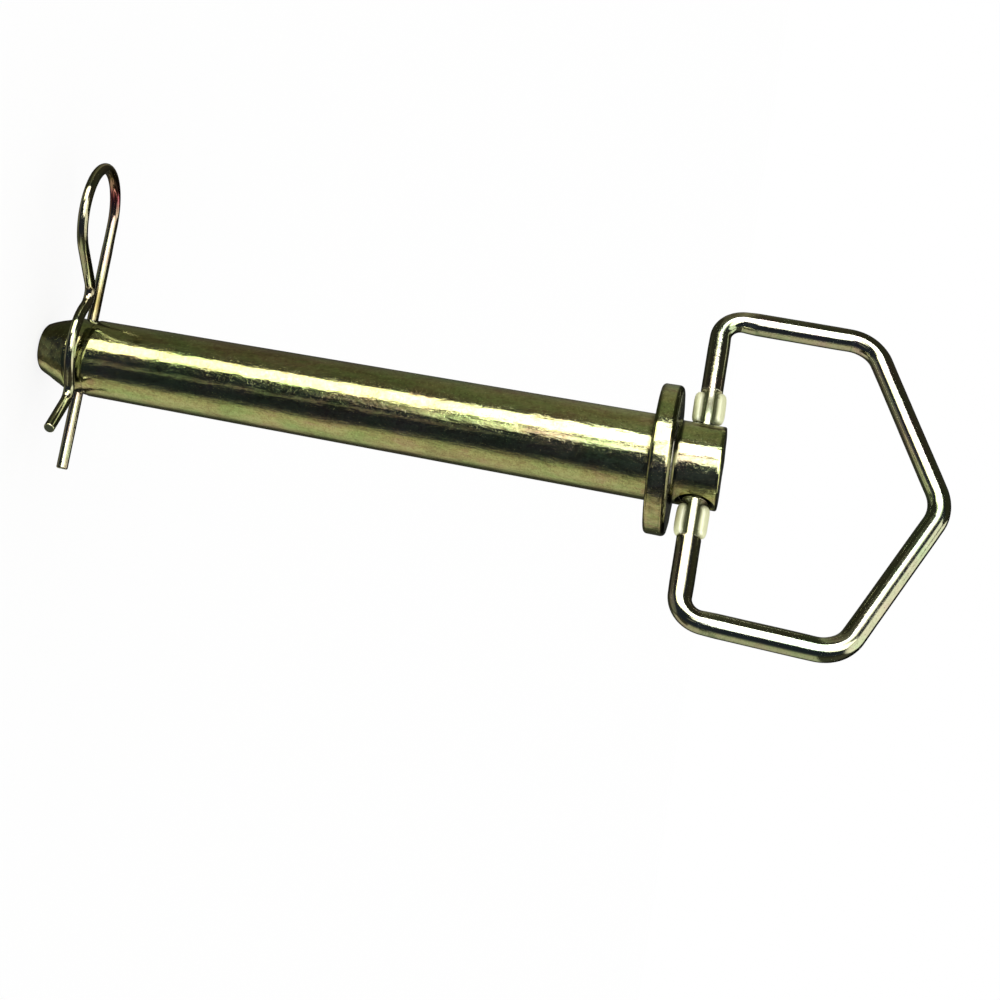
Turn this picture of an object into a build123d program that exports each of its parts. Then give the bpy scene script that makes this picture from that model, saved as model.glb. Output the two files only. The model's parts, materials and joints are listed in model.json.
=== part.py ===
"""Hitch pin lock: forged pin, swivelling wire handle and hairpin clip.

Frame (millimetres): Z is the pin's own axis, head up, tip down.  The origin
is the centre of the collar's seat face (the face towards the shank).  X is
the axis of the cross hole in the head stub, about which the handle swivels.
"""
from build123d import *
import os
from math import acos, asin, atan2, cos, hypot, pi, radians, sin, tan

# ---------------------------------------------------------------- dimensions
# pin
shank_r = 22.2 / 2        # nominal shank size is 7/8 in
grip_length = 158.75      # collar seat face to clip hole centre (6 1/4 in)
shank_full_length = 155.2 # length that carries the full shank diameter
land_r = 21.8 / 2         # slightly relieved land around the clip hole
land_ramp = 0.5           # length of the ramp from shank to land
clip_hole_r = 4.2 / 2     # hole for the clip's straight leg
clip_hole_break = 0.35    # 45 degree broken edge at both clip hole mouths
clip_hole_to_cone = 3.2   # clip hole centre to the start of the lead-in cone
tip_cone_angle = 29.0     # half angle of the lead-in cone
tip_end_r = 11.2 / 2      # flat at the tip
tip_fillet_r = 2.2        # rounding of that flat's edge
seat_fillet_r = 0.8       # shank to collar seat
collar_r = 38.6 / 2
collar_t = 5.3
collar_edge_r = 1.0
stub_r = 21.3 / 2
stub_length = 11.2        # beyond the collar's back face
stub_fillet_r = 0.9       # collar back face to stub
stub_edge_c = 0.6
cross_hole_r = 7.2 / 2
cross_hole_z = collar_t + 6.0
cross_sink_r = 9.0 / 2    # countersink mouth on the stub's outside
cross_sink_depth = 1.0
cut_overshoot = 2.0       # how far the hole cutters stand out of the pin

# swivel handle, one length of round wire
handle_wire_r = 6.0 / 2
handle_half_width = 42.0  # half the distance between the two long sides
handle_side_h = 36.6      # hinge axis to the shoulder corners
handle_apex_h = 55.9      # hinge axis to the apex corner
bend_foot_r = 5.6         # leg to side
bend_shoulder_r = 8.8
bend_apex_r = 10.8
handle_shift = -1.3       # the handle rests pushed over along X in its play
handle_lean = 3.2         # rest angle of the handle, leaning towards +Y
leg_end = 3.6             # distance of each wire end from the pin axis
leg_end_c = 0.6           # bevel of each wire end
crimps = ((1, 10.4, 19.8), (-1, 11.3, 20.8))  # side of X, start and end of the ears
crimp_core_r = 1.6        # squeezed core between the ears
crimp_taper = 1.6         # length of the taper between wire and core
crimp_lead = 0.3          # the first taper starts this far before the ears
crimp_tail = crimp_taper * 0.3  # the last taper ends this far past the ears
ear_r = 1.65
ear_offset = 2.2          # ear centre from the wire centre

# hairpin clip, one length of round spring wire.  Its plane has coordinates
# (u, v): u runs along the clip hole from the pin axis, v across the pin.
clip_wire_r = 3.2 / 2
clip_hole_angle = 20.6    # clip hole axis, turned from X about the pin axis
clip_lean = 4.0           # lean of the clip's plane towards the head
leg_tip_u = 33.1          # free end of the straight leg
loop_r = 13.7
loop_centre = (-39.6, loop_r)
loop_foot_angle = 270.0   # where the loop leaves the straight leg
loop_split_angle = 236.0  # where the straight leg ends and the spring leg starts
loop_neck = (-17.1, 4.6)  # corner between loop and hug
hug_centre = (-2.7, 0.95)
hug_r = 13.7
flare_neck = (12.0, 6.9)  # corner between hug and flared end
neck_r = 4.0
flare_end = (22.7, 18.3)
cap_length = clip_wire_r * 0.5    # cap on each wire end
cap_chamfer = clip_wire_r * 0.35


# ------------------------------------------------------------------- helpers
def rounded_path(points, radii, place):
    """Edges of a 2-D polyline with rounded corners, mapped to 3-D by place()."""
    corners = [Vector(point) for point in points]
    edges = []
    start = corners[0]
    for before, corner, after, radius in zip(corners, corners[1:], corners[2:], radii):
        back = (before - corner).normalized()
        ahead = (after - corner).normalized()
        turn = pi - acos(back.dot(ahead))
        setback = radius * tan(turn / 2)
        arc_start = corner + back * setback
        arc_end = corner + ahead * setback
        arc_middle = corner + (back + ahead).normalized() * (radius / cos(turn / 2) - radius)
        edges.append(Line(place(start), place(arc_start)))
        edges.append(ThreePointArc(place(arc_start), place(arc_middle), place(arc_end)))
        start = arc_end
    edges.append(Line(place(start), place(corners[-1])))
    return edges


def sweep_wire(edges, radius):
    """Round wire with square-cut ends, swept along tangent-continuous edges."""
    path = Wire([edge.edge() for edge in edges])
    start = Plane(origin=path @ 0, z_dir=path % 0)
    return sweep(start * Circle(radius), path=path)


def revolve_x(profile_points):
    """Solid of revolution about X from (x, radius) pairs."""
    outline = Polyline(*[(x, r, 0) for x, r in profile_points], close=True)
    return revolve(Plane.XY * make_face(outline), axis=Axis.X, revolution_arc=360)


def hole_cutter(hole_r, mouth_r, sink_depth, body_r):
    """Cutter along X for a hole through a round body, countersunk at both mouths."""
    slope = (mouth_r - hole_r) / sink_depth
    outer_x = body_r + cut_overshoot
    outer_r = mouth_r + slope * cut_overshoot
    throat_x = body_r - sink_depth
    return revolve_x([
        (-outer_x, 0),
        (-outer_x, outer_r),
        (-throat_x, hole_r),
        (throat_x, hole_r),
        (outer_x, outer_r),
        (outer_x, 0),
    ])


# ----------------------------------------------------------------- hitch pin
def build_hitch_pin():
    cone_z = -(grip_length + clip_hole_to_cone)
    tip_z = cone_z - (land_r - tip_end_r) / tan(radians(tip_cone_angle))
    stub_end_z = collar_t + stub_length

    # half section as (radius, z), from the tip up to the head
    profile = make_face(Polyline(
        (0, tip_z),
        (tip_end_r, tip_z),
        (land_r, cone_z),
        (land_r, -(shank_full_length + land_ramp)),
        (shank_r, -shank_full_length),
        (shank_r, 0),
        (collar_r, 0),
        (collar_r, collar_t),
        (stub_r, collar_t),
        (stub_r, stub_end_z - stub_edge_c),
        (stub_r - stub_edge_c, stub_end_z),
        (0, stub_end_z),
        close=True,
    ))
    # corners to round, as (radius, z, fillet radius)
    for x, z, fillet_r in (
        (tip_end_r, tip_z, tip_fillet_r),
        (shank_r, 0, seat_fillet_r),
        (collar_r, 0, collar_edge_r),
        (collar_r, collar_t, collar_edge_r),
        (stub_r, collar_t, stub_fillet_r),
    ):
        nearest = profile.vertices().sort_by(lambda v: hypot(v.X - x, v.Y - z))[0]
        profile = fillet([nearest], fillet_r)
    pin = revolve(Plane.XZ * profile, axis=Axis.Z, revolution_arc=360)

    cross_cut = hole_cutter(cross_hole_r, cross_sink_r, cross_sink_depth, stub_r)
    pin -= Pos(0, 0, cross_hole_z) * cross_cut

    clip_cut = hole_cutter(
        clip_hole_r, clip_hole_r + clip_hole_break, clip_hole_break, land_r)
    pin -= Pos(0, 0, -grip_length) * Rot(0, 0, clip_hole_angle) * clip_cut
    return pin


# ------------------------------------------------------------- swivel handle
def handle_point(point):
    """Upright handle: (across, height above the hinge axis) to 3-D."""
    local = Vector(point)
    return Vector(local.X + handle_shift, 0, cross_hole_z + local.Y)


def crimped_leg(side, start, stop):
    """Wire end along X, squeezed to a core with an ear above and below it."""
    leg = revolve_x([(side * x, r) for x, r in (
        (leg_end, 0),
        (leg_end, handle_wire_r - leg_end_c),
        (leg_end + leg_end_c, handle_wire_r),
        (start - crimp_lead, handle_wire_r),
        (start - crimp_lead + crimp_taper, crimp_core_r),
        (stop + crimp_tail - crimp_taper, crimp_core_r),
        (stop + crimp_tail, handle_wire_r),
        (stop + crimp_tail, 0),
    )])
    # each ear is a rod with ball ends
    inner, outer = start + ear_r, stop - ear_r
    for z in (ear_offset, -ear_offset):
        rod = Pos((inner + outer) / 2 * side, 0, z) * Rot(0, 90, 0) * Cylinder(
            ear_r, outer - inner)
        leg = (leg + rod + Pos(inner * side, 0, z) * Sphere(ear_r)
               + Pos(outer * side, 0, z) * Sphere(ear_r))
    return leg


def build_swivel_handle():
    # the swept wire takes over where each crimped leg ends
    leg_outer = {side: stop + crimp_tail for side, _, stop in crimps}
    edges = rounded_path(
        [
            (-leg_outer[-1] - handle_shift, 0),
            (-handle_half_width, 0),
            (-handle_half_width, handle_side_h),
            (0, handle_apex_h),
            (handle_half_width, handle_side_h),
            (handle_half_width, 0),
            (leg_outer[1] - handle_shift, 0),
        ],
        [bend_foot_r, bend_shoulder_r, bend_apex_r, bend_shoulder_r, bend_foot_r],
        handle_point)
    handle = sweep_wire(edges, handle_wire_r)
    for side, start, stop in crimps:
        handle = handle + Pos(0, 0, cross_hole_z) * crimped_leg(side, start, stop)
    # lean about the hinge axis
    return (Pos(0, 0, cross_hole_z) * Rot(-handle_lean, 0, 0)
            * Pos(0, 0, -cross_hole_z) * handle)


# -------------------------------------------------------------- hairpin clip
turn_angle = radians(clip_hole_angle)
lean_angle = radians(clip_lean)
clip_u = Vector(cos(turn_angle), sin(turn_angle), 0)
clip_v = Vector(cos(lean_angle) * sin(turn_angle),
                -cos(lean_angle) * cos(turn_angle),
                sin(lean_angle))


def clip_point(point):
    """(u, v) in the clip's plane to 3-D."""
    local = Vector(point)
    return Vector(0, 0, -grip_length) + clip_u * local.X + clip_v * local.Y


def on_circle(centre, radius, angle):
    return (centre[0] + radius * cos(angle), centre[1] + radius * sin(angle))


def clip_arc(centre, radius, start, end):
    """Arc in the clip's plane between two angles in radians."""
    return ThreePointArc(*[clip_point(on_circle(centre, radius, angle))
                           for angle in (start, (start + end) / 2, end)])


def tangent_angle(centre, radius, point, side):
    """Angle on a circle where a straight run from point touches it."""
    x, y = point[0] - centre[0], point[1] - centre[1]
    return atan2(y, x) + side * (pi / 2 - asin(radius / hypot(x, y)))


def end_cap(base, direction):
    """Short chamfered cap that closes a cut wire end."""
    cap = Plane(origin=base, z_dir=direction) * (
        Pos(0, 0, cap_length / 2) * Cylinder(clip_wire_r, cap_length))
    end_edge = cap.edges().sort_by(lambda e: (e.center() - base).dot(direction))[-1]
    return chamfer(end_edge, cap_chamfer)


def build_clip_straight_leg():
    """Free end, run through the pin and foot of the loop."""
    cap_base = clip_point((leg_tip_u - cap_length, 0))
    leg = sweep_wire([
        Line(cap_base, clip_point((loop_centre[0], 0))),
        clip_arc(loop_centre, loop_r, radians(loop_foot_angle), radians(loop_split_angle)),
    ], clip_wire_r)
    return leg + end_cap(cap_base, clip_u)


def build_clip_spring_leg():
    """Rest of the loop, first neck, hug around the pin and flared end."""
    loop_exit = tangent_angle(loop_centre, loop_r, loop_neck, 1)
    hug_start = tangent_angle(hug_centre, hug_r, loop_neck, -1)
    hug_end = tangent_angle(hug_centre, hug_r, flare_neck, 1)
    edges = [clip_arc(loop_centre, loop_r, radians(loop_split_angle), loop_exit)]
    edges += rounded_path(
        [on_circle(loop_centre, loop_r, loop_exit), loop_neck,
         on_circle(hug_centre, hug_r, hug_start)],
        [neck_r], clip_point)
    edges.append(clip_arc(hug_centre, hug_r, hug_start, hug_end))
    edges += rounded_path(
        [on_circle(hug_centre, hug_r, hug_end), flare_neck, flare_end],
        [neck_r], clip_point)
    leg = sweep_wire(edges, clip_wire_r)
    flare_tip = clip_point(flare_end)
    return leg + end_cap(flare_tip, (flare_tip - clip_point(flare_neck)).normalized())


# -------------------------------------------------------------------- export
os.makedirs("parts", exist_ok=True)
for name, build in (
    ("hitch_pin", build_hitch_pin),
    ("swivel_handle", build_swivel_handle),
    ("clip_straight_leg", build_clip_straight_leg),
    ("clip_spring_leg", build_clip_spring_leg),
):
    solids = build().solids()
    part = solids[0] if len(solids) == 1 else Compound(solids)
    part.label = name
    export_step(part, f"parts/{name}.step")
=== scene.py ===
import json
import math

import bmesh
import bpy
import numpy as np
from mathutils import Matrix, Vector, noise


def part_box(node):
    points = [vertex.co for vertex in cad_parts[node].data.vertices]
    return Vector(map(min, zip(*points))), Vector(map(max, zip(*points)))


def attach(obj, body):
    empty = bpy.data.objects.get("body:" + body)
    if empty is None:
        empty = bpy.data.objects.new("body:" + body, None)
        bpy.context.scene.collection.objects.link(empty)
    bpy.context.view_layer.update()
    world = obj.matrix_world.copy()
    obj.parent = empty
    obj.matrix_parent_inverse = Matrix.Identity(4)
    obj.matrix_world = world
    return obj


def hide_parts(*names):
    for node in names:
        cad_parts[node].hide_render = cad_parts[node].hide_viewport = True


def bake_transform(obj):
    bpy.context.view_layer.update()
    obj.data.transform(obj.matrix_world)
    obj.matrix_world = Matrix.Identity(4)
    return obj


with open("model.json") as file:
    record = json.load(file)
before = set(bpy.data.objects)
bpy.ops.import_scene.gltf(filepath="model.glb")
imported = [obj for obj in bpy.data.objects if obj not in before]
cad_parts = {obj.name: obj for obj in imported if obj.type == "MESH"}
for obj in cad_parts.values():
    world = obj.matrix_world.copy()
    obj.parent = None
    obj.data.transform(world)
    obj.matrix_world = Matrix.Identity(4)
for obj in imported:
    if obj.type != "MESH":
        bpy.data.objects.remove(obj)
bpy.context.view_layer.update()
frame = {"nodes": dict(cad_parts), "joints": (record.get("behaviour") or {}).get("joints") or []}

MM = 0.001
TAU = 2 * math.pi

# ------------------------------------------------------------ sizes, from the CAD frame (mm)
pin_lo, pin_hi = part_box("hitch_pin")
joint_at = {j["name"]: [c / MM for c in j["pos_m"]] for j in frame["joints"] if "pos_m" in j}
joint_axis = {j["name"]: Vector(j["axis"]).normalized() for j in frame["joints"]}
Z_TIP, Z_END = pin_lo.z / MM, pin_hi.z / MM          # tip and head end
R_COLLAR = pin_hi.x / MM
R_SHANK = 11.1
R_LAND = 10.9
Z_LAND = (-155.2, -155.7)
Z_CONE = -161.3
TIP_FLAT_R, TIP_ROUND = 6.6, 1.7
COLLAR_T, COLLAR_EDGE = 5.3, 1.0
R_STUB, STUB_FILLET, STUB_EDGE = 10.65, 0.9, 0.6
SEAT_FILLET = 0.8
Z_HINGE = joint_at["handle_swivel"][2]
HOLE_R, SINK_R, SINK_DEPTH = 3.6, 4.8, 1.1
Z_CLIP = -158.75
CLIP_HOLE_R = 2.1

WIRE_R = 3.0
HALF_W, SIDE_H, APEX_H = 42.0, 36.4, 55.5
SHIFT = -1.3
LEAN = math.radians(3.2)
LEG_END = 3.6
CRIMPS = {1: (10.4, 19.8), -1: (11.3, 20.8)}
GROOVE_R, EAR_R, EAR_OFF = 1.7, 1.42, 2.48

CLIP_R = 1.6


def smooth(a, b, x):
    t = np.clip((x - a) / (b - a), 0, 1)
    return t * t * (3 - 2 * t)


def wobble(points, scale, seed):
    """Smooth noise in about -1..1 at each point (mm), features about 1/scale mm."""
    off = Vector((seed * 17.3, seed * 5.1, -seed * 11.7))
    return np.array([noise.noise(Vector(p) * scale + off) for p in points])


# ------------------------------------------------------------ mesh helpers
def mesh_from_rings(name, rings, start_pole=None, end_pole=None):
    """Closed skin over rings of points (n, m, 3) in mm, with a fan at each end."""
    n, m, _ = rings.shape
    verts = [tuple(p * MM) for p in rings.reshape(-1, 3)]
    faces = []
    for i in range(n - 1):
        a, b = i * m, (i + 1) * m
        for j in range(m):
            k = (j + 1) % m
            faces.append((a + j, a + k, b + k, b + j))
    s = rings[0].mean(0) if start_pole is None else np.array(start_pole, float)
    e = rings[-1].mean(0) if end_pole is None else np.array(end_pole, float)
    verts += [tuple(s * MM), tuple(e * MM)]
    si, ei, last = n * m, n * m + 1, (n - 1) * m
    for j in range(m):
        k = (j + 1) % m
        faces.append((si, k, j))
        faces.append((ei, last + j, last + k))
    mesh = bpy.data.meshes.new(name)
    mesh.from_pydata(verts, [], faces)
    mesh.validate()
    return finish_mesh(name, mesh)


def finish_mesh(name, mesh, sharp=38):
    bm = bmesh.new()
    bm.from_mesh(mesh)
    bmesh.ops.recalc_face_normals(bm, faces=bm.faces)
    bm.to_mesh(mesh)
    bm.free()
    mesh.shade_smooth()
    mesh.set_sharp_from_angle(angle=math.radians(sharp))
    obj = bpy.data.objects.new(name, mesh)
    bpy.context.scene.collection.objects.link(obj)
    return obj


def arc(cx, cy, r, a0, a1, n):
    """Points on a circle from a0 to a1 degrees, both ends in."""
    return [(cx + r * math.cos(math.radians(a)), cy + r * math.sin(math.radians(a)))
            for a in np.linspace(a0, a1, n)]


def spaced(p, q, step):
    """Points from p to q, p left out, about step apart."""
    n = max(1, round(math.dist(p, q) / step))
    return [(p[0] + (q[0] - p[0]) * i / n, p[1] + (q[1] - p[1]) * i / n)
            for i in range(1, n + 1)]


def lathe(name, profile, segments, shape=None):
    """Skin of (r, z) rings about Z; shape(points, r, z) may move them."""
    ang = np.arange(segments) / segments * TAU
    rings = []
    for r, z in profile:
        ring = np.stack([r * np.cos(ang), r * np.sin(ang), np.full(segments, z)], 1)
        rings.append(ring)
    rings = np.array(rings)
    if shape:
        rings = shape(rings, profile, ang)
    return mesh_from_rings(name, rings)


def cutter(name, profile, centre, turn, segments=96):
    """Lathed solid along X, turned about Z, placed at centre: cuts a hole."""
    ang = np.arange(segments) / segments * TAU
    rings = np.array([np.stack([np.full(segments, x), r * np.cos(ang), r * np.sin(ang)], 1)
                      for x, r in profile])
    rot = np.array(Matrix.Rotation(turn, 3, "Z"))
    rings = rings @ rot.T + np.array(centre)
    return mesh_from_rings(name, rings)


def cut(obj, tools):
    for t in tools:
        mod = obj.modifiers.new("cut", "BOOLEAN")
        mod.object, mod.operation, mod.solver = t, "DIFFERENCE", "EXACT"
    dg = bpy.context.evaluated_depsgraph_get()
    mesh = bpy.data.meshes.new_from_object(obj.evaluated_get(dg))
    bm = bmesh.new()                               # slivers the cut leaves are merged away
    bm.from_mesh(mesh)
    bmesh.ops.remove_doubles(bm, verts=bm.verts, dist=3e-6)
    bmesh.ops.dissolve_degenerate(bm, dist=3e-6, edges=bm.edges)
    bm.to_mesh(mesh)
    bm.free()
    name = obj.name
    for o in [obj] + tools:
        bpy.data.objects.remove(o)
    return finish_mesh(name, mesh)


# ------------------------------------------------------------ the forged pin
def fillet_points(p, q, s, r, n=8):
    """Corner q between p and s rounded to radius r: its arc's points."""
    p, q, s = (np.array(v, float) for v in (p, q, s))
    a, b = (p - q) / np.linalg.norm(p - q), (s - q) / np.linalg.norm(s - q)
    half = math.acos(np.clip(a @ b, -1, 1)) / 2
    set_back = r / math.tan(half)
    c = q + (a + b) / np.linalg.norm(a + b) * (r / math.sin(half))
    p0, p1 = q + a * set_back, q + b * set_back
    v0, v1 = p0 - c, p1 - c
    turn = math.atan2(v0[0] * v1[1] - v0[1] * v1[0], v0 @ v1)
    return [tuple(c + np.array([math.cos(t * turn) * v0[0] - math.sin(t * turn) * v0[1],
                                math.sin(t * turn) * v0[0] + math.cos(t * turn) * v0[1]]))
            for t in np.linspace(0, 1, n)]


corners = [  # (r, z, rounding, arc steps, step of the run that leads there)
    (0.0, Z_TIP, 0, 0, 0),
    (TIP_FLAT_R, Z_TIP, TIP_ROUND, 12, 0.9),
    (R_LAND, Z_CONE, 2.6, 9, 0.6),
    (R_LAND, Z_LAND[1], 0.25, 4, 0.6),
    (R_SHANK, Z_LAND[0], 0.25, 4, 0.2),
    (R_SHANK, 0.0, SEAT_FILLET, 7, 0.9),
    (R_COLLAR, 0.0, COLLAR_EDGE, 9, 0.6),
    (R_COLLAR, COLLAR_T, COLLAR_EDGE * 1.25, 9, 0.45),
    (R_STUB, COLLAR_T, STUB_FILLET, 8, 0.6),
    (R_STUB, Z_END, STUB_EDGE, 6, 0.5),
    (0.0, Z_END, 0, 0, 0.7),
]
profile = [(0.35, Z_TIP)]
for i in range(1, len(corners)):
    r, z, rnd, steps, step = corners[i]
    if rnd:
        pts = fillet_points(corners[i - 1][:2], (r, z), corners[i + 1][:2], rnd, steps)
        profile += spaced(profile[-1], pts[0], step) + pts[1:]
    else:
        profile += spaced(profile[-1], (0.35, z), step)


def forge(rings, prof, ang):
    """Small unevenness a hammer-forged and tumbled blank keeps."""
    n, m, _ = rings.shape
    flat = rings.reshape(-1, 3)
    z = flat[:, 2]
    r = np.hypot(flat[:, 0], flat[:, 1])
    radial = np.stack([flat[:, 0], flat[:, 1], np.zeros(len(flat))], 1) / r[:, None]
    on_shank = smooth(0.5, -1.5, z) * smooth(Z_CONE - 1, Z_CONE + 2, z)
    stretched = flat * np.array([1, 1, 0.45])
    fine = wobble(stretched, 0.16, 1)
    move = on_shank * 0.016 * fine
    head = smooth(-0.4, 0.4, z)
    rim = head * smooth(R_STUB + 1, R_COLLAR - 1, r)
    move += rim * (0.10 * wobble(flat, 0.11, 2) + 0.03 * wobble(flat, 0.5, 3) - 0.06)
    stub = head * smooth(COLLAR_T, COLLAR_T + 1.5, z)
    move += stub * (0.04 * wobble(flat, 0.2, 4) - 0.02)
    tip = smooth(Z_CONE + 1.5, Z_CONE - 2.5, z)
    # the blunt end was cropped a little off square: fuller on one side
    lean_dir = np.array([-0.822, -0.569, 0])
    side_on = radial @ lean_dir
    move += smooth(Z_CONE + 1, Z_TIP + 2.5, z) * (0.6 * side_on + 0.3) * smooth(1, 5, r)
    move += tip * (0.16 * wobble(flat, 0.16, 5) + 0.05 * wobble(flat, 0.5, 6) - 0.07)
    keep = smooth(0.2, 2.0, r)
    out = flat + radial * (move * keep)[:, None]
    # faces: seat, collar back, stub end and tip end
    axial = (head * smooth(COLLAR_T - 1.2, COLLAR_T - 0.2, z) * smooth(R_STUB + 0.5, R_STUB + 2, r)
             * (0.07 * wobble(flat, 0.18, 7) - 0.035))
    axial += smooth(Z_END - 0.5, Z_END, z) * (0.10 * wobble(flat, 0.16, 8) - 0.07)
    axial += smooth(Z_TIP + 1.2, Z_TIP, z) * np.maximum(0.16 * wobble(flat, 0.2, 9) + 0.08, 0.005)
    out[:, 2] += axial
    return out.reshape(n, m, 3)


pin = lathe("forged_pin", profile, 224, forge)
half = R_STUB + 2
slope = (SINK_R - HOLE_R) / SINK_DEPTH
cross = cutter("cross_cut", [(-half, SINK_R + slope * 0.25), (-R_STUB - 0.25, SINK_R + slope * 0.25),
                             (-(R_STUB - SINK_DEPTH) - 0.25, HOLE_R + slope * 0.25),
                             (-(R_STUB - SINK_DEPTH), HOLE_R + 0.08),
                             (-(R_STUB - SINK_DEPTH) + 0.3, HOLE_R),
                             (0, HOLE_R),
                             ((R_STUB - SINK_DEPTH) - 0.3, HOLE_R),
                             ((R_STUB - SINK_DEPTH), HOLE_R + 0.08),
                             ((R_STUB - SINK_DEPTH) + 0.25, HOLE_R + slope * 0.25),
                             (R_STUB + 0.25, SINK_R + slope * 0.25), (half, SINK_R + slope * 0.25)],
               (0, 0, Z_HINGE), 0, 112)
psi = math.atan2(-joint_axis["clip_pull"].y, -joint_axis["clip_pull"].x)
half = R_LAND + 2
clip_cut = cutter("clip_cut", [(-half, CLIP_HOLE_R + 2.35), (-(R_LAND - 0.35), CLIP_HOLE_R),
                               (0, CLIP_HOLE_R),
                               (R_LAND - 0.35, CLIP_HOLE_R), (half, CLIP_HOLE_R + 2.35)],
                  (0, 0, Z_CLIP), psi, 72)
pin = cut(pin, [cross, clip_cut])
# painted shade: the bores are painted dark
co = np.empty(len(pin.data.vertices) * 3)
pin.data.vertices.foreach_get("co", co)
co = co.reshape(-1, 3) / MM
off_hinge = np.hypot(co[:, 1], co[:, 2] - Z_HINGE)
clip_dir = np.array([math.cos(psi), math.sin(psi), 0])
to_clip = co - np.array([0, 0, Z_CLIP])
off_clip = np.linalg.norm(to_clip - np.outer(to_clip @ clip_dir, clip_dir), axis=1)
hollow_shade = np.maximum((1 - smooth(3.7, 4.5, off_hinge)) * (np.abs(co[:, 0]) < R_STUB - 0.1),
                  (1 - smooth(2.2, 2.5, off_clip)) * (np.hypot(co[:, 0], co[:, 1]) < R_LAND - 0.05))
# painted shade also darkens the collar's back edge and the corner under the stub
off_axis = np.hypot(co[:, 0], co[:, 1])
back_edge = smooth(R_COLLAR - 1.6, R_COLLAR - 1.1, off_axis) * smooth(COLLAR_T - 1.15, COLLAR_T - 0.7, co[:, 2])
corner = ((1 - smooth(R_STUB + 0.8, R_STUB + 1.6, off_axis)) * smooth(COLLAR_T - 0.5, COLLAR_T - 0.2, co[:, 2])
          * (1 - smooth(COLLAR_T + 0.8, COLLAR_T + 1.4, co[:, 2])))
hollow_shade = np.maximum(hollow_shade, 0.72 * np.maximum(back_edge, corner))
attr = pin.data.attributes.new("painted_shade", "FLOAT", "POINT")
attr.data.foreach_set("value", hollow_shade.astype(np.float32))
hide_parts("hitch_pin")
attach(pin, "pin_body")


# ------------------------------------------------------------ wires
def round_path(points, radii, step):
    """Polyline with rounded corners, sampled about step apart.
    Returns points and curvature signs times curvature."""
    out, bend = [], []
    last = np.array(points[0], float)
    for i in range(1, len(points) - 1):
        p, q, s = (np.array(points[j], float) for j in (i - 1, i, i + 1))
        a, b = (p - q) / np.linalg.norm(p - q), (s - q) / np.linalg.norm(s - q)
        half_a = math.acos(np.clip(a @ b, -1, 1)) / 2
        r = radii[i - 1]
        back = r / math.tan(half_a)
        start = q + a * back
        c = q + (a + b) / np.linalg.norm(a + b) * (r / math.sin(half_a))
        n = max(1, round(np.linalg.norm(start - last) / step))
        for k in range(n):
            out.append(last + (start - last) * k / n)
            bend.append(0.0)
        v0, v1 = start - c, q + b * back - c
        turn = math.atan2(v0[0] * v1[1] - v0[1] * v1[0], v0 @ v1)
        n = max(4, round(abs(turn) * r / step))
        for k in range(n):
            t = turn * k / n
            out.append(c + np.array([math.cos(t) * v0[0] - math.sin(t) * v0[1],
                                     math.sin(t) * v0[0] + math.cos(t) * v0[1]]))
            bend.append(math.copysign(1 / r, turn))
        last = q + b * back
    end = np.array(points[-1], float)
    n = max(1, round(np.linalg.norm(end - last) / step))
    for k in range(n + 1):
        out.append(last + (end - last) * k / n)
        bend.append(0.0)
    return np.array(out), np.array(bend)


def tangents(pts):
    d = np.gradient(pts, axis=0)
    return d / np.linalg.norm(d, axis=1)[:, None]


def soft_max(a, b, k):
    h = np.clip(0.5 + 0.5 * (a - b) / k, 0, 1)
    return b + (a - b) * h + k * h * (1 - h)


# swivel handle: (u, w) plane, u along the hinge axis, w up the handle
path, bend = round_path(
    [(-LEG_END - SHIFT, 0), (-HALF_W, 0), (-HALF_W, SIDE_H), (0, APEX_H), (HALF_W, SIDE_H),
     (HALF_W, 0), (LEG_END - SHIFT, 0)],
    [5.6, 8.8, 10.8, 8.8, 5.6], 0.5)
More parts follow.
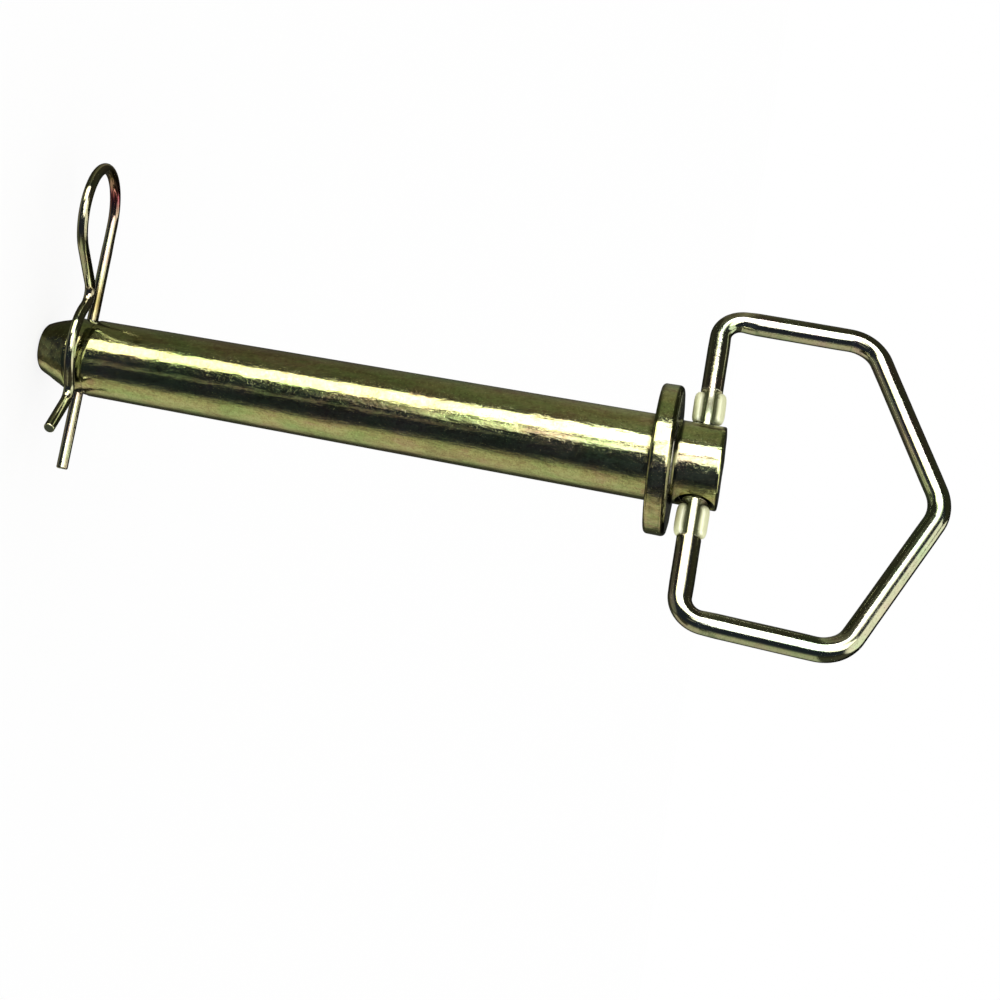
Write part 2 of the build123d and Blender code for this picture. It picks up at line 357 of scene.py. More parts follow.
# finer rings where the ears are
dense = []
for i in range(len(path) - 1):
    dense.append((path[i], bend[i]))
    x = abs(path[i][0] + SHIFT)
    if abs(path[i][1]) < 0.01 and 9.0 < x < 23.0:
        dense += [(path[i] + (path[i + 1] - path[i]) * f, bend[i]) for f in (0.25, 0.5, 0.75)]
dense.append((path[-1], 0.0))
path = np.array([d[0] for d in dense])
bend = np.array([d[1] for d in dense])
bend = np.convolve(np.pad(bend, 6, mode="edge"), np.ones(13) / 13, "valid")
tan2 = tangents(path)
nrm2 = np.stack([-tan2[:, 1], tan2[:, 0]], 1)
SEG = 160
theta = np.arange(SEG) / SEG * TAU
cos_t, sin_t = np.cos(theta), np.sin(theta)
rings, pressed, painted_shade_rows = [], [], []
for i, (p, n2) in enumerate(zip(path, nrm2)):
    x = p[0] + SHIFT
    side = 1 if x > 0 else -1
    start, stop = CRIMPS[side]
    # the wire is drawn a little thinner where it was pulled over the outer bends and at the legs
    wire_r = WIRE_R - 0.34 * smooth(SIDE_H - 3, SIDE_H + 5, p[1])
    wire_r -= (0.30 if side < 0 else 0.10) * (1 - smooth(2, 9, p[1])) * smooth(13, 19, abs(x))
    r = np.full(SEG, wire_r)
    # a bent rod flattens a little across the bend
    squeeze = min(1.0, abs(bend[i]) * 8) * 0.035
    sx, sy = 1 - squeeze, 1 + squeeze * 0.5
    painted_shade = np.zeros(SEG)
    press = np.zeros(SEG)
    if p[1] < 3.0 and abs(x) < stop + 4:
        ax = abs(x)
        # two blades pressed a groove each side of the wire's crest and pushed out two ears
        into = smooth(start - 0.3, start + 0.6, ax) * (1 - smooth(stop - 0.7, stop + 0.3, ax))
        off_crest = np.degrees(np.arctan2(np.abs(cos_t), np.abs(sin_t)))
        cut_in = smooth(14.0, 25.0, off_crest)
        r = wire_r - (wire_r - GROOVE_R) * into * cut_in
        # painted shade: the grooves beside the crest are darkened
        painted_shade = into * smooth(14.0, 22.0, off_crest)
        press = np.full(SEG, 0.4 * into)
        mid, half_len = (start + 0.5 + stop) / 2, (stop - start - 0.5) / 2
        for s in (1, -1):
            uneven = 1 + 0.025 * math.sin(1.7 * s + side + ax * 0.7)
            q = abs(ax - mid - 0.25 * s * side) / half_len
            if q < 1:
                er = EAR_R * (1 - q ** 6) ** (1 / 2.3) * uneven
                off = EAR_OFF - 0.12 * q ** 3
                c, sn = s * cos_t, sin_t
                disc = er * er - off * off * sn * sn
                hit = (c > 0) & (disc > 0)
                far = np.where(hit, off * c + np.sqrt(np.maximum(disc, 0)), 0)
                on_ear = hit & (far > r)
                painted_shade = np.where(on_ear, 0.0, painted_shade)
                press = np.where(on_ear, 1.0, press)
                r = np.where(hit, soft_max(far, r, 0.08), r)
    # plain cut end inside the hole
    to_end = min(abs(x) - LEG_END, 99) if p[1] < 3 else 99
    if to_end < 0.6:
        r = r * (0.8 + 0.2 * math.sqrt(max(0.0, 1 - (1 - max(to_end, 0) / 0.6) ** 2)))
    pressed += list(press)
    painted_shade_rows += list(painted_shade)
    u = p[0] + n2[0] * r * cos_t * sx
    w = p[1] + n2[1] * r * cos_t * sx
    y = r * sin_t * sy
    rings.append(np.stack([u + SHIFT,
                           y * math.cos(LEAN) + w * math.sin(LEAN),
                           Z_HINGE + w * math.cos(LEAN) - y * math.sin(LEAN)], 1))
rings = np.array(rings)
flat = rings.reshape(-1, 3)
centre = np.repeat(rings.mean(1), SEG, 0)
out = (flat - centre) / np.linalg.norm(flat - centre, axis=1)[:, None]
flat = flat + out * (0.02 * wobble(flat, 0.12, 11) - 0.015)[:, None]
handle = mesh_from_rings("wire_handle", flat.reshape(rings.shape))
attr = handle.data.attributes.new("pressed", "FLOAT", "POINT")
attr.data.foreach_set("value", np.array(pressed + [0.0, 0.0], np.float32))
attr = handle.data.attributes.new("painted_shade", "FLOAT", "POINT")
attr.data.foreach_set("value", np.array(painted_shade_rows + [0.0, 0.0], np.float32))
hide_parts("swivel_handle")
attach(handle, "handle_body")

# hairpin clip: one wire in its own (u, v) plane
PHI = math.radians(4.0)
dir_u = np.array([math.cos(psi), math.sin(psi), 0])
dir_v = np.array([math.cos(PHI) * math.sin(psi), -math.cos(PHI) * math.cos(psi), math.sin(PHI)])
dir_n = np.cross(dir_u, dir_v)
clip_o = np.array([0, 0, Z_CLIP])
LOOP, LOOP_R = (-39.6, 13.7), 13.7
NECK1, HUG, HUG_R, NECK2, NECK_R, FLARE = (-17.1, 4.6), (-2.7, 0.95), 13.7, (12.0, 6.9), 4.2, (22.7, 18.3)
LEG_TIP = 33.1


def touch(point, c, r, side):
    """Angle on the circle (c, r) where a straight run from point touches it."""
    dx, dy = point[0] - c[0], point[1] - c[1]
    return math.atan2(dy, dx) + side * (math.pi / 2 - math.asin(r / math.hypot(dx, dy)))


def on(c, r, a):
    return (c[0] + r * math.cos(a), c[1] + r * math.sin(a))


STEP = 0.5
pts = [(LEG_TIP, 0.0)] + spaced((LEG_TIP, 0), (LOOP[0], 0), STEP)
a_out = touch(NECK1, LOOP, LOOP_R, 1)
a_out = a_out if a_out > 0 else a_out + TAU
n = round(LOOP_R * (1.5 * math.pi - a_out) / STEP)
pts += [on(LOOP, LOOP_R, 1.5 * math.pi + (a_out - 1.5 * math.pi) * k / n) for k in range(1, n + 1)]
h0, h1 = touch(NECK1, HUG, HUG_R, -1), touch(NECK2, HUG, HUG_R, 1)
leg, _ = round_path([pts[-1], NECK1, on(HUG, HUG_R, h0)], [NECK_R], STEP)
pts += [tuple(p) for p in leg[1:]]
n = round(HUG_R * abs(h1 - h0) / STEP)
pts += [on(HUG, HUG_R, h0 + (h1 - h0) * k / n) for k in range(1, n + 1)]
leg, _ = round_path([pts[-1], NECK2, FLARE], [NECK_R], STEP)
pts += [tuple(p) for p in leg[1:]]
fl = np.array(FLARE) - np.array(NECK2)
fl /= np.linalg.norm(fl)
pts += [tuple(np.array(FLARE) + fl * d) for d in (0.4, 0.8)]
path = np.array(pts, float)
tan2 = tangents(path)
nrm2 = np.stack([-tan2[:, 1], tan2[:, 0]], 1)
SEG = 64
theta = np.arange(SEG) / SEG * TAU
cos_t, sin_t = np.cos(theta), np.sin(theta)
run = np.r_[0, np.cumsum(np.linalg.norm(np.diff(path, axis=0), axis=1))]
rings = []


def ring_at(p, n2, r):
    flat2 = p + n2 * (r * cos_t)[:, None]
    return (clip_o + flat2[:, :1] * dir_u + flat2[:, 1:] * dir_v
            + (r * sin_t)[:, None] * dir_n)


EDGE = 0.5
for end in ("start", "body", "finish"):
    if end == "body":
        for i in range(1, len(path) - 1):
            slim = smooth(-36, -30, path[i][0]) * (1 - smooth(0.2, 1.5, path[i][1]))
            rings.append(ring_at(path[i], nrm2[i], CLIP_R + 0.10 * slim))
    else:
        i, s = (0, 1) if end == "start" else (len(path) - 1, -1)
        tip = []
        end_r = CLIP_R + (0.10 if end == "start" else 0.0)
        for f in (0.35, 0.7, 0.93, 1.0):
            tip.append(ring_at(path[i], nrm2[i], (end_r - EDGE) * f))
        for k in (20, 45, 70, 90):
            t = math.radians(k)
            tip.append(ring_at(path[i] + s * tan2[i] * EDGE * (1 - math.cos(t)), nrm2[i],
                               end_r - EDGE + EDGE * math.sin(t)))
        rings += tip if end == "start" else tip[::-1]
rings = np.array(rings)
flat = rings.reshape(-1, 3)
centre = np.repeat(rings.mean(1), SEG, 0)
out = (flat - centre) / np.maximum(np.linalg.norm(flat - centre, axis=1), 1e-6)[:, None]
flat = flat + out * (0.012 * wobble(flat, 0.2, 21) - 0.008)[:, None]
clip = mesh_from_rings("hairpin_clip", flat.reshape(rings.shape))
# where the loop was bent the film took a rose stain
stain = np.exp(-np.sum((flat - np.array([-43.9, -19.8, -158.5])) ** 2, axis=1) / 5.0 ** 2)
cut_ends = np.zeros(len(flat))
cut_ends[:5 * SEG] = cut_ends[-5 * SEG:] = 1.0
# a golden film on the loop's crown and where the straight leg nears the shank
near_shank = (np.exp(-np.sum((flat - np.array([-15.4, -5.8, -158.7])) ** 2, axis=1) / 5.0 ** 2)
              * (flat @ np.array([0.351, -0.934, 0.070]) < -8.7))
golden = np.maximum(np.exp(-np.sum((flat - np.array([-45.1, -31.5, -157.8])) ** 2, axis=1) / 7.5 ** 2),
                    near_shank)
# painted shade on the straight leg where it passes close to the shank; the cut ends are marked here too
attr = clip.data.attributes.new("painted_shade", "FLOAT", "POINT")
attr.data.foreach_set("value", np.r_[np.maximum(cut_ends, 0.75 * near_shank), 1, 1].astype(np.float32))
attr = clip.data.attributes.new("golden", "FLOAT", "POINT")
attr.data.foreach_set("value", np.r_[golden, 0, 0].astype(np.float32))
attr = clip.data.attributes.new("sheared", "FLOAT", "POINT")
attr.data.foreach_set("value", np.r_[cut_ends, 1, 1].astype(np.float32))
attr = clip.data.attributes.new("stain", "FLOAT", "POINT")
attr.data.foreach_set("value", np.r_[stain, 0, 0].astype(np.float32))
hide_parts("clip_straight_leg", "clip_spring_leg")
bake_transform(clip)


# ------------------------------------------------------------ camera
cam_data = bpy.data.cameras.new("camera")
cam = bpy.data.objects.new("camera", cam_data)
bpy.context.scene.collection.objects.link(cam)
CAM_AT = Vector((0.199650, -0.417937, 0.028764))
right = Vector((-0.320933, 0.268470, 0.908254)).normalized()
down = Vector((0.816022, 0.565152, 0.121290)).normalized()
fwd = right.cross(-down) * -1
m = Matrix.Identity(4)
for k in range(3):
    m[k][0], m[k][1], m[k][2], m[k][3] = right[k], -down[k], -fwd[k], CAM_AT[k]
cam.matrix_world = m
cam_data.sensor_width = 36
cam_data.lens = 61.2
cam_data.clip_start, cam_data.clip_end = 0.01, 20


def drive(owner, prop, expression, index=-1):
    """Drive a value by whether the camera stands where the main view has it."""
    drv = owner.driver_add(prop, index).driver
    drv.type = "SCRIPTED"
    var = drv.variables.new()
    var.name, var.type = "px", "TRANSFORMS"
    var.targets[0].id = cam
    var.targets[0].transform_type = "LOC_X"
    var.targets[0].transform_space = "WORLD_SPACE"
    drv.expression = expression.replace("at_main", f"(abs(px - {CAM_AT.x:.6f}) < 0.0001)")


# the main view is shifted off the lens axis; any other viewpoint looks straight at the object
drive(cam_data, "shift_x", "0.43533 * at_main")
drive(cam_data, "shift_y", "-0.31635 * at_main")
bpy.context.scene.camera = cam


# ------------------------------------------------------------ node helpers
def node(tree, kind, **settings):
    n = tree.nodes.new(kind)
    for key, value in settings.items():
        if key in n.inputs:
            n.inputs[key].default_value = value
        else:
            setattr(n, key, value)
    return n


def ramp(tree, fac, stops, mode="LINEAR"):
    n = tree.nodes.new("ShaderNodeValToRGB")
    n.color_ramp.interpolation = mode
    els = n.color_ramp.elements
    while len(els) > 1:
        els.remove(els[-1])
    els[0].position = stops[0][0]
    els[0].color = (*stops[0][1], 1) if len(stops[0][1]) == 3 else stops[0][1]
    for pos, col in stops[1:]:
        e = els.new(pos)
        e.color = (*col, 1) if len(col) == 3 else col
    tree.links.new(fac, n.inputs[0])
    return n.outputs[0]


def math_node(tree, op, a, b=None, clamp=False):
    n = tree.nodes.new("ShaderNodeMath")
    n.operation, n.use_clamp = op, clamp
    for i, v in enumerate((a, b)):
        if v is None:
            continue
        if isinstance(v, (int, float)):
            n.inputs[i].default_value = v
        else:
            tree.links.new(v, n.inputs[i])
    return n.outputs[0]


def mix_color(tree, fac, a, b, mode="MIX"):
    n = tree.nodes.new("ShaderNodeMix")
    n.data_type, n.blend_type = "RGBA", mode
    for sock, v in ((n.inputs[0], fac), (n.inputs[6], a), (n.inputs[7], b)):
        if isinstance(v, (int, float)):
            sock.default_value = v
        elif isinstance(v, tuple):
            sock.default_value = (*v, 1)
        else:
            tree.links.new(v, sock)
    return n.outputs[2]


def noise_node(tree, vec, scale, detail=3.0, rough=0.5, lac=2.0, distort=0.0):
    n = tree.nodes.new("ShaderNodeTexNoise")
    n.inputs["Scale"].default_value = scale
    n.inputs["Detail"].default_value = detail
    n.inputs["Roughness"].default_value = rough
    n.inputs["Lacunarity"].default_value = lac
    n.inputs["Distortion"].default_value = distort
    tree.links.new(vec, n.inputs["Vector"])
    return n.outputs[0]


# ------------------------------------------------------------ yellow chromate on zinc
def chromate(name, tint_scale, grain, stretch=(1, 1, 1), base=(0.84, 0.88, 0.32), rough=0.11,
             bump=1.0, shift=0.0, mottle=0.0):
    mat = bpy.data.materials.new(name)
    mat.use_nodes = True
    t = mat.node_tree
    t.nodes.clear()
    out = t.nodes.new("ShaderNodeOutputMaterial")
    bsdf = t.nodes.new("ShaderNodeBsdfPrincipled")
    t.links.new(bsdf.outputs[0], out.inputs[0])
    coord = t.nodes.new("ShaderNodeTexCoord")
    mp = t.nodes.new("ShaderNodeMapping")          # metres to millimetres
    mp.inputs["Scale"].default_value = (1000, 1000, 1000)
    mp.inputs["Location"].default_value = (shift, shift * 0.7, -shift)
    t.links.new(coord.outputs["Object"], mp.inputs["Vector"])
    mm = mp.outputs[0]
    st = t.nodes.new("ShaderNodeMapping")
    st.inputs["Scale"].default_value = stretch
    t.links.new(mm, st.inputs["Vector"])
    along = st.outputs[0]

    # film thickness: broad drifts with smaller patches, seen as green, gold and rose tints
    broad = noise_node(t, mm, tint_scale, 2.0, 0.5)
    patch = noise_node(t, along, tint_scale * 3.2, 3.0, 0.55, distort=0.4)
    film = math_node(t, "ADD", math_node(t, "MULTIPLY", broad, 0.55),
                     math_node(t, "MULTIPLY", patch, 0.45))
    r, g, b = base
    tint = ramp(t, film, [
        (0.30, (r * 0.80, g * 1.00, b * 0.90)),
        (0.40, (r * 0.90, g * 1.02, b * 0.92)),
        (0.47, (r, g, b)),
        (0.54, (r * 1.06, g * 0.98, b * 1.00)),
        (0.59, (r * 1.10, g * 0.89, b * 1.08)),
        (0.65, (r * 1.04, g * 0.94, b * 0.98)),
        (0.74, (r * 0.86, g * 1.02, b * 0.90)),
    ])
    # fine speckle in the film
    speck = noise_node(t, mm, 2.6, 4.0, 0.65)
    speck = ramp(t, speck, [(0.32, (0.66, 0.64, 0.60)), (0.48, (1, 1, 1)), (0.58, (1, 1, 1)),
                            (0.72, (1.18, 1.18, 1.25))])
    colour = mix_color(t, 1.0, tint, speck, "MULTIPLY")
    # thicker film in drifting patches: darker, brown to rose
    drift = ramp(t, noise_node(t, along, 0.21, 4.0, 0.62, distort=0.6),
                 [(0.36, (1.12, 1.12, 1.15)), (0.50, (1, 1, 1)), (0.60, (0.88, 0.82, 0.84)),
                  (0.70, (0.78, 0.68, 0.70))])
    colour = mix_color(t, mottle, colour, drift, "MULTIPLY")
    cells = ramp(t, noise_node(t, mm, 0.75, 3.0, 0.6, distort=0.5),
                 [(0.36, (1.12, 1.14, 1.10)), (0.48, (1, 1, 1)), (0.56, (0.96, 0.92, 0.90)),
                  (0.66, (0.86, 0.80, 0.78))])
    colour = mix_color(t, mottle, colour, cells, "MULTIPLY")
    # edges rubbed to bright zinc
    geo = t.nodes.new("ShaderNodeNewGeometry")
    worn = math_node(t, "MULTIPLY",
                     ramp(t, geo.outputs["Pointiness"], [(0.53, (0, 0, 0)), (0.60, (1, 1, 1))]),
                     ramp(t, noise_node(t, mm, 0.9, 3.0, 0.6),
                          [(0.42, (0, 0, 0)), (0.60, (1, 1, 1))]))
    colour = mix_color(t, math_node(t, "MULTIPLY", worn, 0.35), colour, (0.80, 0.80, 0.62))
    # pressed faces carry a paler, duller film
    at_press = t.nodes.new("ShaderNodeAttribute")
    at_press.attribute_name = "pressed"
    press = at_press.outputs["Fac"]
    colour = mix_color(t, math_node(t, "MULTIPLY", press, 0.9), colour, (0.96, 0.98, 0.60))
    # painted shade from the mesh: dark bores, corners, crimp grooves and the clip leg near the shank
    at_painted_shade = t.nodes.new("ShaderNodeAttribute")
    at_painted_shade.attribute_name = "painted_shade"
    colour = mix_color(t, math_node(t, "MULTIPLY", at_painted_shade.outputs["Fac"], 0.9), colour,
                       (0.14, 0.17, 0.06))
    at_cut = t.nodes.new("ShaderNodeAttribute")
    at_cut.attribute_name = "sheared"
    sheared = at_cut.outputs["Fac"]
    colour = mix_color(t, sheared, colour, (0.045, 0.052, 0.030))
    at_gold = t.nodes.new("ShaderNodeAttribute")
    at_gold.attribute_name = "golden"
    colour = mix_color(t, at_gold.outputs["Fac"], colour, (1.0, 0.76, 0.46), "MULTIPLY")
    at_stain = t.nodes.new("ShaderNodeAttribute")
    at_stain.attribute_name = "stain"
    colour = mix_color(t, math_node(t, "MULTIPLY", at_stain.outputs["Fac"], 0.95), colour,
                       (0.70, 0.13, 0.15))
    # painted shade: the colour is darkened and browned in hollows and corners by ambient occlusion
    ao = t.nodes.new("ShaderNodeAmbientOcclusion")
    ao.samples = 6
    ao.inputs["Distance"].default_value = 0.0035
    shade = ramp(t, ao.outputs["AO"], [(0.28, (0.10, 0.09, 0.06)), (0.78, (1, 1, 1))])
    hollow = math_node(t, "SUBTRACT", 0.95, math_node(t, "MULTIPLY", press, 0.6))
    colour = mix_color(t, hollow, colour, shade, "MULTIPLY")
    # painted reflection: seen in another polished face, the film is given a duller, greyer colour
    light_path = t.nodes.new("ShaderNodeLightPath")
    colour = mix_color(t, math_node(t, "MULTIPLY", light_path.outputs["Is Glossy Ray"], 0.9),
                       colour, (0.42, 0.42, 0.34))
    t.links.new(colour, bsdf.inputs["Base Color"])
    metal = math_node(t, "SUBTRACT", 1.0, math_node(t, "MULTIPLY", press, 0.75))
    t.links.new(math_node(t, "SUBTRACT", metal, sheared), bsdf.inputs["Metallic"])
    t.links.new(math_node(t, "SUBTRACT", 0.5, math_node(t, "MULTIPLY", sheared, 0.45)),
                bsdf.inputs["Specular IOR Level"])

    # roughness: cloudy film, with dull handling marks
    cloud = noise_node(t, mm, 0.35, 4.0, 0.6)
    rough_out = math_node(t, "ADD", rough - 0.04, math_node(t, "MULTIPLY", cloud, 0.08))
    scuff = ramp(t, noise_node(t, along, 1.4, 5.0, 0.7, distort=0.8),
                 [(0.56, (0, 0, 0)), (0.66, (1, 1, 1))])
    rough_out = math_node(t, "ADD", rough_out, math_node(t, "MULTIPLY", scuff, 0.10))
    rough_out = math_node(t, "ADD", rough_out, math_node(t, "MULTIPLY", press, 0.30))
    rough_out = math_node(t, "ADD", rough_out, math_node(t, "MULTIPLY", sheared, 0.40))
    t.links.new(rough_out, bsdf.inputs["Roughness"])

    # relief: tumbled orange peel, draw lines along the bar, small pits
    peel = noise_node(t, along, grain, 2.0, 0.5)
    lines = noise_node(t, along, grain * 3.1, 3.0, 0.6)
    pits = ramp(t, noise_node(t, mm, 1.9, 2.0, 0.5), [(0.30, (0, 0, 0)), (0.38, (1, 1, 1))])
    swell = noise_node(t, along, grain * 0.42, 2.0, 0.5, distort=0.3)
    b0 = node(t, "ShaderNodeBump", Strength=1.0, Distance=0.00007 * mottle * bump)
    t.links.new(swell, b0.inputs["Height"])
    b1 = node(t, "ShaderNodeBump", Strength=1.0, Distance=0.000045 * bump)
    t.links.new(peel, b1.inputs["Height"])
    t.links.new(b0.outputs[0], b1.inputs["Normal"])
    b2 = node(t, "ShaderNodeBump", Strength=1.0, Distance=0.000016 * bump)
    t.links.new(lines, b2.inputs["Height"])
    t.links.new(b1.outputs[0], b2.inputs["Normal"])
    b3 = node(t, "ShaderNodeBump", Strength=0.6, Distance=0.000010 * bump)
    t.links.new(pits, b3.inputs["Height"])
    t.links.new(b2.outputs[0], b3.inputs["Normal"])
    t.links.new(b3.outputs[0], bsdf.inputs["Normal"])
    return mat


def wear(obj, mat):
    obj.data.materials.clear()
    obj.data.materials.append(mat)


forging = chromate("zinc_forging_finish", 0.075, 0.62, (1, 1, 0.30), rough=0.105, bump=1.5,
                   mottle=0.9)
wire = chromate("zinc_wire_finish", 0.06, 0.5, (1, 1, 1), base=(0.88, 0.90, 0.47), rough=0.09,
                bump=0.5, shift=31.0, mottle=0.3)
spring = chromate("zinc_clip_finish", 0.10, 0.6, (1, 1, 1), base=(0.86, 0.84, 0.42), rough=0.10,
                  bump=0.45, shift=77.0, mottle=0.5)
wear(pin, forging)
wear(handle, wire)
wear(clip, spring)
for name, mat in (("hitch_pin", forging), ("swivel_handle", wire),
                  ("clip_straight_leg", spring), ("clip_spring_leg", spring)):
    wear(frame["nodes"][name], mat)


# ------------------------------------------------------------ floor
floor_mesh = bpy.data.meshes.new("floor")
S = 6.0
floor_mesh.from_pydata([(-S, -S, 0), (S, -S, 0), (S, S, 0), (-S, S, 0)], [], [(0, 1, 2, 3)])
floor = bpy.data.objects.new("floor", floor_mesh)
bpy.context.scene.collection.objects.link(floor)
floor.location = (0, 0, pin_lo.z - 0.0001)
floor.visible_glossy = False
paper = bpy.data.materials.new("paper_floor")
paper.use_nodes = True
pt = paper.node_tree
pt.nodes.clear()
p_out = pt.nodes.new("ShaderNodeOutputMaterial")
p_diff = pt.nodes.new("ShaderNodeBsdfDiffuse")
p_diff.inputs[0].default_value = (0.95, 0.95, 0.945, 1)
p_glow = pt.nodes.new("ShaderNodeEmission")
p_glow.inputs[1].default_value = 0.995
p_mix = pt.nodes.new("ShaderNodeMixShader")
p_mix.inputs[0].default_value = 0.85
pt.links.new(p_diff.outputs[0], p_mix.inputs[1])
pt.links.new(p_glow.outputs[0], p_mix.inputs[2])
pt.links.new(p_mix.outputs[0], p_out.inputs[0])
floor_mesh.materials.append(paper)


# ------------------------------------------------------------ light: a white tent with strip softboxes, fixed to the camera
world = bpy.data.worlds.new("studio")
bpy.context.scene.world = world
world.use_nodes = True
wt = world.node_tree
wt.nodes.clear()
w_out = wt.nodes.new("ShaderNodeOutputWorld")
coord = wt.nodes.new("ShaderNodeTexCoord")
vt = wt.nodes.new("ShaderNodeVectorTransform")
vt.vector_type, vt.convert_from, vt.convert_to = "VECTOR", "WORLD", "CAMERA"
wt.links.new(coord.outputs["Generated"], vt.inputs[0])
# strips run along the pin's own direction in the main view
cam_inv = cam.matrix_world.to_3x3().inverted()
axis_c = (cam_inv @ Vector((0, 0, 1))).normalized()
to_axis = cam_inv @ (Vector((0, 0, 0)) - CAM_AT)
front_c = -(to_axis - axis_c * to_axis.dot(axis_c)).normalized()
up_c = front_c.cross(axis_c)
if up_c.y < 0:
    up_c = -up_c


def along_dir(v, w):
    """Component of the ray along v in the main view and w in others: directions in camera
    space with z towards the camera."""
    n = wt.nodes.new("ShaderNodeVectorMath")
    n.operation = "DOT_PRODUCT"
    wt.links.new(vt.outputs[0], n.inputs[0])
    for k, (main, other) in enumerate(zip((v.x, v.y, -v.z), (w[0], w[1], -w[2]))):
        drive(n.inputs[1], "default_value", f"{main:.6f} if at_main else {other:.6f}", k)
    return n.outputs["Value"]


DEG = math.pi / 180
theta_out = math_node(wt, "MULTIPLY", math_node(wt, "ARCTAN2", along_dir(up_c, (-1, 0, 0)), along_dir(front_c, (0, 0, 1))),
                      1 / DEG)
side_out = along_dir(axis_c, (0, 1, 0))


def box(value, lo, hi, soft):
    """1 between lo and hi, falling to 0 over soft on both sides."""
    made = []
    for a, b in ((lo - soft, lo + soft), (hi + soft, hi - soft)):
        n = wt.nodes.new("ShaderNodeMapRange")
        n.interpolation_type = "SMOOTHSTEP"
        wt.links.new(value, n.inputs["Value"])
        n.inputs["From Min"].default_value = a
        n.inputs["From Max"].default_value = b
        made.append(n.outputs["Result"])
    return math_node(wt, "MULTIPLY", *made)


def lamp(theta, side, level, soft=1.6, side_soft=0.04):
    """A flat light seen between two angles round the pin's axis and two positions along it."""
    return math_node(wt, "MULTIPLY",
                     math_node(wt, "MULTIPLY", box(theta_out, *theta, soft),
                               box(side_out, *side, side_soft)), level)


LEVEL = 4.0
pos = math_node(wt, "ADD", math_node(wt, "MULTIPLY", theta_out, 1 / 360), 0.5)
strips = [  # the room round the lights: angle round the pin's axis, level, how green, how blue
    (-180, 0.035, 1.05, 1.0), (-139, 0.035, 1.05, 1.0), (-128, 0.20, 1.0, 1.0),
    (-119, 0.34, 0.97, 1.0), (-100, 0.38, 0.97, 1.0), (-76, 0.36, 0.97, 0.94), (-66, 0.22, 1.0, 0.95),
    (-58, 0.06, 1.05, 1.5), (-48, 0.014, 1.25, 2.6), (0, 0.014, 1.25, 2.6), (58, 0.026, 1.1, 2.0),
    (68, 0.066, 1.0, 0.95), (100, 0.070, 1.0, 0.85), (135, 0.08, 1.0, 1.0), (160, 0.06, 1.0, 1.0),
    (180, 0.035, 1.05, 1.0),
]
room = ramp(wt, pos, [(d / 360 + 0.5, (v / LEVEL, v / LEVEL * g, v / LEVEL * b))
                      for d, v, g, b in strips])
# the room is darker above and beyond both ends of the shank
ends = math_node(wt, "SUBTRACT", 1.0, box(side_out, -0.45, -0.015, 0.03))
above = box(theta_out, 57, 230, 5)
dim = math_node(wt, "MULTIPLY", math_node(wt, "MULTIPLY", ends, above), 0.66)
# and lighter towards the collar
near = box(side_out, -0.16, 0.02, 0.12)
gain = math_node(wt, "MULTIPLY", math_node(wt, "MULTIPLY", near, above), 0.85)
gain = math_node(wt, "ADD", gain, math_node(wt, "MULTIPLY", math_node(
    wt, "MULTIPLY", box(side_out, -0.08, -0.005, 0.025), box(theta_out, -62, 6, 6)), 0.85))
head_top = math_node(wt, "MULTIPLY", box(side_out, -0.080, -0.012, 0.020), above)
gain = math_node(wt, "ADD", gain, math_node(wt, "MULTIPLY", head_top, 0.6))
level = math_node(wt, "ADD", math_node(wt, "SUBTRACT", 1.0, dim), gain)
# the dark band reaches further down round the collar and the stub
head_low = math_node(wt, "MULTIPLY", box(side_out, -0.070, -0.012, 0.012),
                     box(theta_out, -76, -44, 5))
level = math_node(wt, "MULTIPLY", level,
                  math_node(wt, "SUBTRACT", 1.0, math_node(wt, "MULTIPLY", head_low, 0.80)))
stub_low = math_node(wt, "MULTIPLY", box(side_out, -0.053, -0.012, 0.006),
                     box(theta_out, -140, -74, 6))
level = math_node(wt, "MULTIPLY", level,
                  math_node(wt, "SUBTRACT", 1.0, math_node(wt, "MULTIPLY", stub_low, 0.45)))
# the white table under the shank ends short of the clip
past = math_node(wt, "SUBTRACT", 1.0, box(side_out, -0.47, 0.17, 0.05))
past = math_node(wt, "SUBTRACT", past,
                 math_node(wt, "MULTIPLY", box(side_out, -0.83, -0.49, 0.03),
                           box(theta_out, -230, -93, 6)), clamp=True)
below = box(theta_out, -230, -56, 4)
level = math_node(wt, "SUBTRACT", level,
                  math_node(wt, "MULTIPLY", math_node(wt, "MULTIPLY", past, below), 0.88))
scale = wt.nodes.new("ShaderNodeVectorMath")
scale.operation = "SCALE"
wt.links.new(room, scale.inputs[0])
wt.links.new(level, scale.inputs["Scale"])
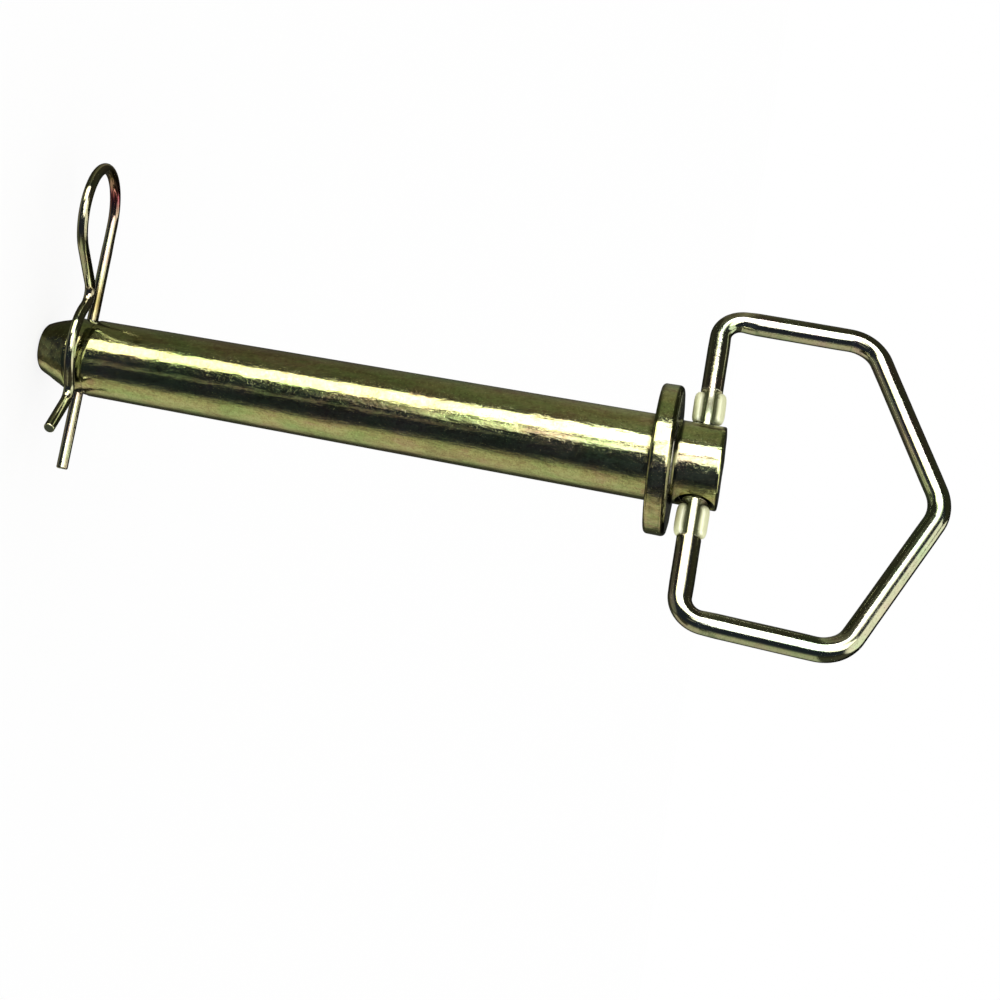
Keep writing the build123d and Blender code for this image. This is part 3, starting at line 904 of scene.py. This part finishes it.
# with greener light from below at the head
green = math_node(wt, "MULTIPLY", box(side_out, -0.070, -0.012, 0.012), box(theta_out, -150, -50, 8))
room = mix_color(wt, green, scale.outputs[0], (0.86, 1.0, 0.92), "MULTIPLY")
total = None
for args in (
    ((26, 55), (-0.60, 0.34), 2.5),                # overhead softbox
    ((26, 55), (-0.14, 0.50), 1.1, 1.6, 0.10),     # brighter over the head
    ((6, 19.5), (-0.13, 0.12), 2.4, 1.6, 0.12),    # a second strip below it, near the head
    ((-6, 27), (0.06, 0.36), 2.4, 2.5, 0.03),      # and its wider end over the handle
    ((-15, -8), (-0.42, -0.16), 0.14, 2.5, 0.06),  # its faint glow towards the tip
    ((-230, 48), (0.84, 1.2), 0.8),                # white card at the head end
    ((-10, 30), (0.34, 0.80), 1.9, 5.0, 0.06),     # fill light beyond the handle
    ((-200, 200), (-1.3, -0.90), 0.10, 2.0, 0.05),  # a faint glow beyond the tip
):
    v = lamp(*args)
    total = v if total is None else math_node(wt, "ADD", total, v)
# seen from anywhere else, the wall behind the object is lit too
wall = math_node(wt, "ADD", box(theta_out, 125, 230, 20), box(theta_out, -230, -150, 20))
elsewhere = wt.nodes.new("ShaderNodeValue")
drive(elsewhere.outputs[0], "default_value", "0.0 if at_main else 0.55")
total = math_node(wt, "ADD", total, math_node(wt, "MULTIPLY", wall, elsewhere.outputs[0]))
total = math_node(wt, "MULTIPLY", total, 1 / LEVEL)
cool = ramp(wt, math_node(wt, "ADD", math_node(wt, "MULTIPLY", side_out, 0.5), 0.5),
            [(0.30, (1.0, 1.0, 1.0)), (0.42, (1.0, 1.0, 1.08)), (0.48, (1.0, 1.02, 1.5)),
             (0.60, (1.0, 1.02, 1.5)), (0.75, (1.0, 1.0, 1.2))])
total = mix_color(wt, 1.0, total, cool, "MULTIPLY")
light = mix_color(wt, 1.0, room, total, "ADD")
studio = node(wt, "ShaderNodeBackground", Strength=LEVEL)
wt.links.new(light, studio.inputs[0])
tent = node(wt, "ShaderNodeBackground", Strength=1.05)
tent.inputs[0].default_value = (1, 1, 1, 1)
backdrop = node(wt, "ShaderNodeBackground", Strength=1.0)
backdrop.inputs[0].default_value = (1, 1, 1, 1)
path_node = wt.nodes.new("ShaderNodeLightPath")
mix1 = wt.nodes.new("ShaderNodeMixShader")
wt.links.new(path_node.outputs["Is Glossy Ray"], mix1.inputs[0])
wt.links.new(tent.outputs[0], mix1.inputs[1])
wt.links.new(studio.outputs[0], mix1.inputs[2])
mix2 = wt.nodes.new("ShaderNodeMixShader")
wt.links.new(path_node.outputs["Is Camera Ray"], mix2.inputs[0])
wt.links.new(mix1.outputs[0], mix2.inputs[1])
wt.links.new(backdrop.outputs[0], mix2.inputs[2])
wt.links.new(mix2.outputs[0], w_out.inputs[0])
world.cycles.sampling_method = "NONE"

bpy.context.scene.view_settings.view_transform = "Standard"
bpy.context.scene.view_settings.look = "None"
